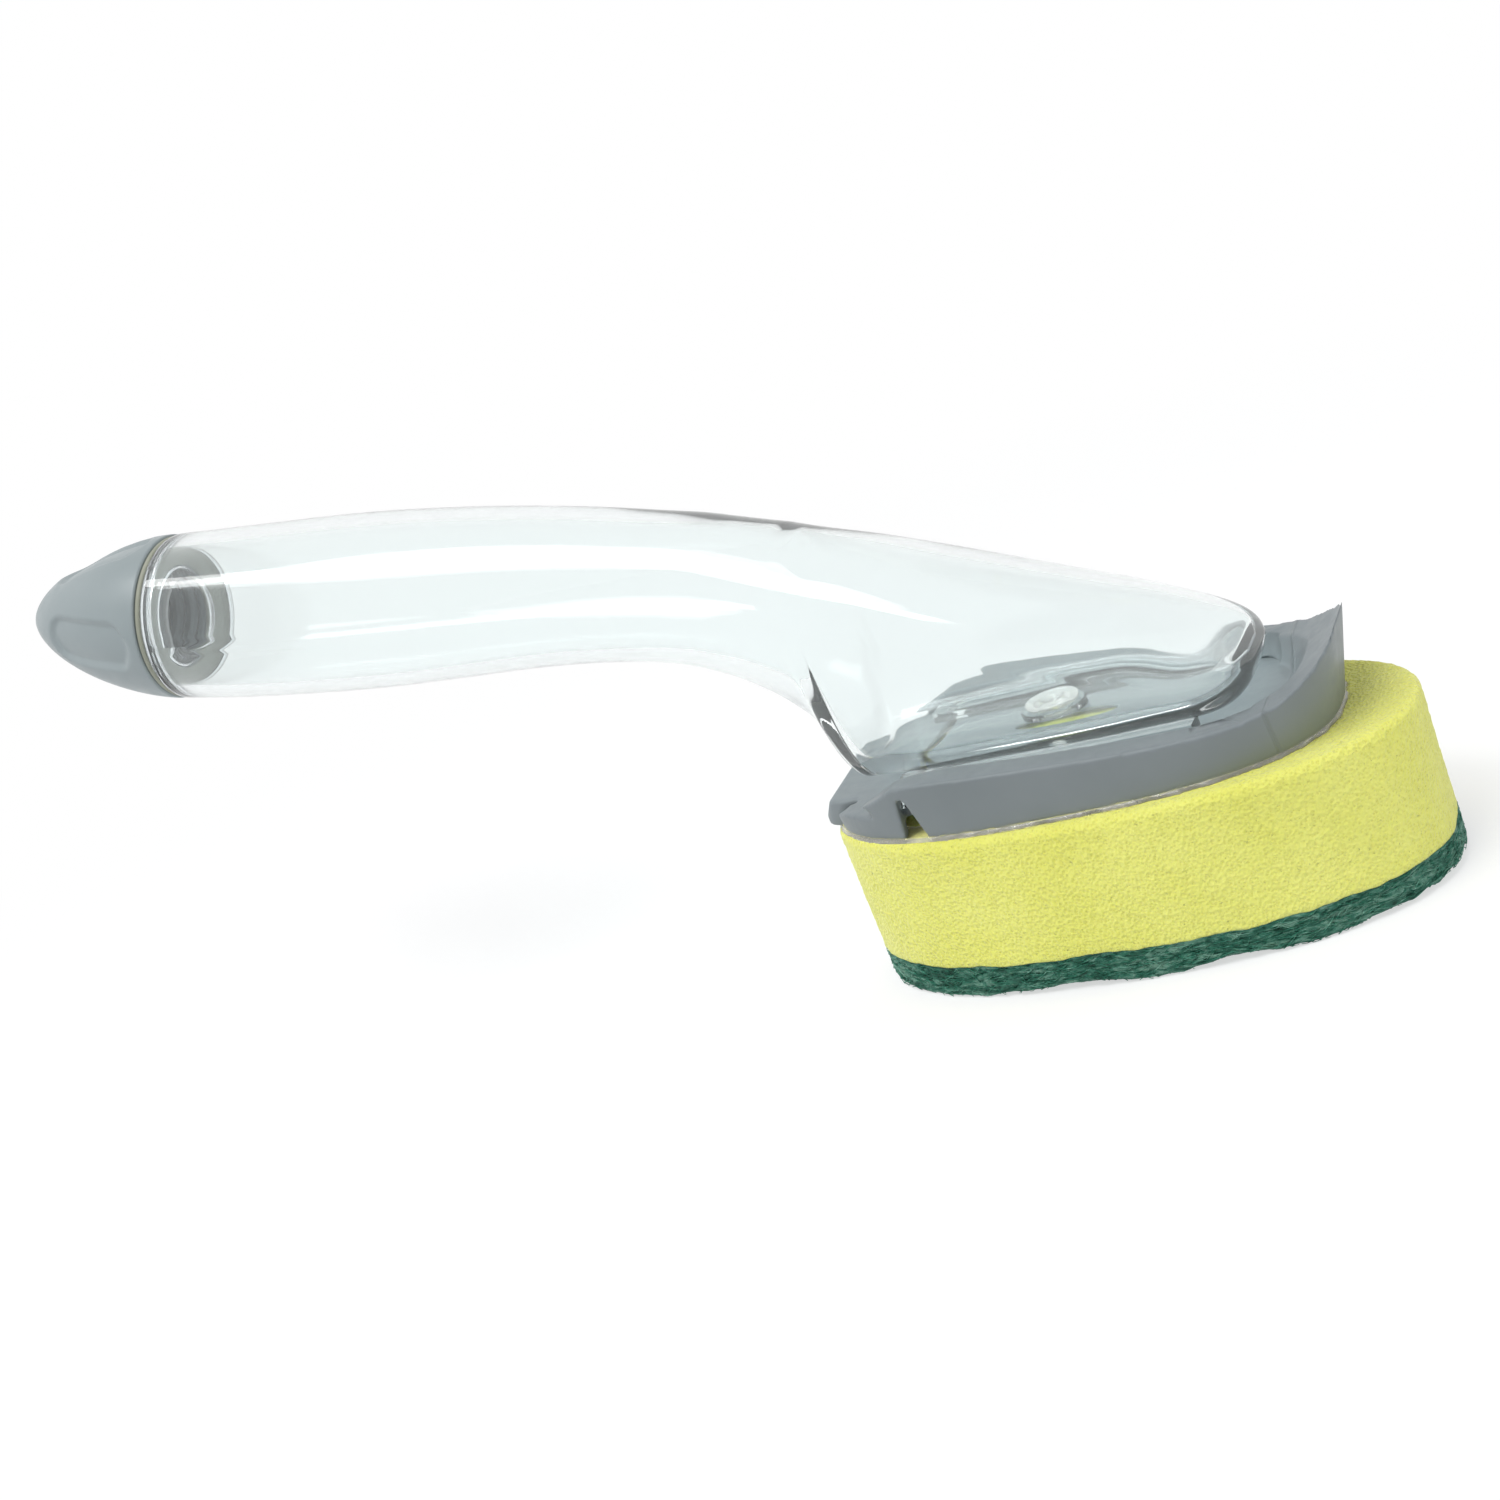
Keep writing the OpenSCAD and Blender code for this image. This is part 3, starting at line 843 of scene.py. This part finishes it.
pad_levels = [(0.0, 0.9), (0.15, 0.45), (0.5, 0.15)]
pad_levels += [(z, 0.0) for z in np.arange(0.9, PAD_T - 0.3, FOAM_STEP * 0.8)] + [(PAD_T - 0.02, 0.1)]
pad = block("scourer_pad", pad_levels, int(26 / FOAM_STEP * 0.5))
place_vertices(pad, pad_shape)


def side_fibre(rim):
    """Middle, direction and bend of a fibre that lies along the scourer's side."""
    i = rng.integers(len(rim))
    px, py = rim[i]
    qx, qy = rim[(i + 1) % len(rim)]
    t = Vector((qx - px, qy - py, 0)).normalized()
    out = Vector((t.y, -t.x, 0))
    at = Vector((px, py, rng.uniform(0.5, PAD_T - 0.35))) + out * rng.uniform(-0.35, 0.12)
    lean = rng.normal(0, 0.45)
    way = (t * math.cos(lean) + Vector((0, 0, 1)) * math.sin(lean)).normalized()
    return at, way, out


def face_fibre():
    """The same for a fibre on the working face."""
    a = rng.uniform(0, 2 * math.pi)
    k = math.sqrt(rng.random()) * 0.97
    x = k * (SPONGE_L / 2 - 0.8) * power(math.cos(a), 2 / SPONGE_SQUARE)
    y = k * (SPONGE_W / 2 - 0.8) * power(math.sin(a), 2 / SPONGE_SQUARE)
    at = Vector((x, y, rng.uniform(0.16, 0.4)))
    b = rng.uniform(0, 2 * math.pi)
    return at, Vector((math.cos(b), math.sin(b), 0)), Vector((0, 0, -1))


def fibres(name, count, parts=5, sides=3):
    """Short bent fibres lying on the scourer's side and face."""
    verts, faces = [], []
    rim = sponge_outline(0.25, 1200)
    for _ in range(count):
        on_side = rng.random() < 0.62
        at, way, bend = side_fibre(rim) if on_side else face_fibre()
        low, high = (0.12, PAD_T - 0.1) if on_side else (0.1, 0.9)
        length = rng.uniform(1.6, 4.2)
        turn = rng.normal(0, 0.5)
        thick = rng.uniform(0.05, 0.095)
        cross = way.cross(bend).normalized()
        start = len(verts)
        for s in np.linspace(-0.5, 0.5, parts + 1):
            curve = turn * (s * s - 0.08) * length * 0.6
            q = at + way * (s * length) + cross * curve - bend * (abs(s) ** 2 * 0.5)
            q.z = min(max(q.z, low), high)
            q.z += pad_rise(*q)
            for j in range(sides):
                b = 2 * math.pi * j / sides
                verts.append(tuple(q + (bend * math.cos(b) + cross * math.sin(b)) * thick))
        for s in range(parts):
            row = start + s * sides
            for j in range(sides):
                m = (j + 1) % sides
                faces.append((row + j, row + m, row + sides + m, row + sides + j))
        faces.append((start + 2, start + 1, start))
        last = start + parts * sides
        faces.append((last, last + 1, last + 2))
    return make(name, verts, faces)


hairs = fibres("scourer_fibres", FIBRES)
for piece, mat in ((pad, M_SCOUR), (hairs, M_FIBRE)):
    dress(piece, mat)
    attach(piece, "head")
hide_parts("scouring_pad")


# ---------------------------------------------------------------- stage, lamps, camera
def background(tree, out, plain, white):
    """Shows white to the camera, to gloss and through clear plastic, and plain light to the rest."""
    path = add(tree, "ShaderNodeLightPath")
    seen = math_node(tree, "MAXIMUM", path.outputs["Is Camera Ray"], path.outputs["Is Glossy Ray"])
    seen = math_node(tree, "MAXIMUM", seen, path.outputs["Is Transmission Ray"])
    mix = add(tree, "ShaderNodeMixShader")
    tree.links.new(seen, mix.inputs[0])
    tree.links.new(plain, mix.inputs[1])
    tree.links.new(white, mix.inputs[2])
    tree.links.new(mix.outputs[0], out.inputs["Surface"])


def studio_world():
    world = bpy.data.worlds.new("studio")
    bpy.context.scene.world = world
    world.use_nodes = True
    tree = world.node_tree
    tree.nodes.clear()
    out = add(tree, "ShaderNodeOutputWorld")
    soft = add(tree, "ShaderNodeBackground", Color=(0.96, 0.98, 1.0, 1), Strength=0.45)
    bright = add(tree, "ShaderNodeBackground", Color=(1, 1, 1, 1), Strength=1.0)
    background(tree, out, soft.outputs[0], bright.outputs[0])


def stage_floor(drop=-0.05, count=48):
    """A pale floor that keeps the object's shadow and fades to white past it."""
    turns = [2 * math.pi * i / count for i in range(count)]
    rings = [[(0, 0, drop)]]
    for r in (60, 120, 200, 320, 500, 800, 1400, 2600):
        rings.append([(r * math.cos(t) - 60, r * math.sin(t), drop) for t in turns])
    floor = rings_mesh("studio_floor", rings, caps=False)
    mat, tree, bsdf, out = material("floor_pale")
    bsdf.inputs["Base Color"].default_value = (0.86, 0.87, 0.88, 1)
    bsdf.inputs["Roughness"].default_value = 0.7
    bsdf.inputs["Specular IOR Level"].default_value = 0.1
    glow = add(tree, "ShaderNodeEmission", Color=(1, 1, 1, 1), Strength=0.6)
    matt = add(tree, "ShaderNodeBsdfDiffuse", Color=(0.42, 0.42, 0.42, 1))
    both = add(tree, "ShaderNodeAddShader")
    tree.links.new(matt.outputs[0], both.inputs[0])
    tree.links.new(glow.outputs[0], both.inputs[1])
    white = add(tree, "ShaderNodeEmission", Color=(1, 1, 1, 1), Strength=1.0)
    parts = add(tree, "ShaderNodeSeparateXYZ")
    tree.links.new(coords(tree), parts.inputs[0])
    ex = math_node(tree, "POWER", math_node(tree, "ADD", parts.outputs["X"], 0.05), 2)
    ey = math_node(tree, "POWER", parts.outputs["Y"], 2)
    far = remap(tree, math_node(tree, "SQRT", math_node(tree, "ADD", ex, ey)), 0.16, 0.32, 0, 1)
    fade = add(tree, "ShaderNodeMixShader")
    tree.links.new(far, fade.inputs[0])
    tree.links.new(both.outputs[0], fade.inputs[1])
    tree.links.new(white.outputs[0], fade.inputs[2])
    background(tree, out, bsdf.outputs[0], fade.outputs[0])
    dress(floor, mat)


def lamp(kind, name, place, target, energy, **values):
    """A lamp at place, in metres, that points at target."""
    data = bpy.data.lights.new(name, kind)
    data.energy = energy
    for key, value in values.items():
        setattr(data, key, value)
    obj = bpy.data.objects.new(name, data)
    bpy.context.scene.collection.objects.link(obj)
    obj.location = place
    obj.rotation_euler = (Vector(target) - Vector(place)).to_track_quat("-Z", "Y").to_euler()


studio_world()
stage_floor()
lamp("SUN", "key", (-0.3, -0.5, 1.2), (-0.06, 0, 0.04), 1.02, angle=math.radians(35))
lamp("AREA", "strip", (-0.25, -0.35, 0.75), (-0.06, 0, 0.06), 2.0, shape="RECTANGLE", size=0.7, size_y=0.12)
lamp("AREA", "fill", (0.7, 0.1, 0.45), (0.0, 0, 0.04), 1.1, shape="RECTANGLE", size=0.4, size_y=0.4)

# The camera that was fitted to the photograph's outlines: its axes, and its place in metres
CAM_RIGHT = (0.875749, 0.324626, -0.357325)
CAM_UP = (0.194505, 0.440173, 0.876593)
CAM_BACK = (0.441850, -0.837177, 0.322340)
CAM_AT = (0.13123, -0.363564, 0.181933)
lens = bpy.data.cameras.new("photo_camera")
lens.sensor_width = 36
lens.sensor_fit = "HORIZONTAL"
lens.lens = 62.4
lens.clip_start = 0.01
camera = bpy.data.objects.new("photo_camera", lens)
bpy.context.scene.collection.objects.link(camera)
camera.matrix_world = Matrix([*zip(CAM_RIGHT, CAM_UP, CAM_BACK, CAM_AT), (0, 0, 0, 1)])
bpy.context.scene.camera = camera
bpy.context.scene.view_settings.view_transform = "Standard"
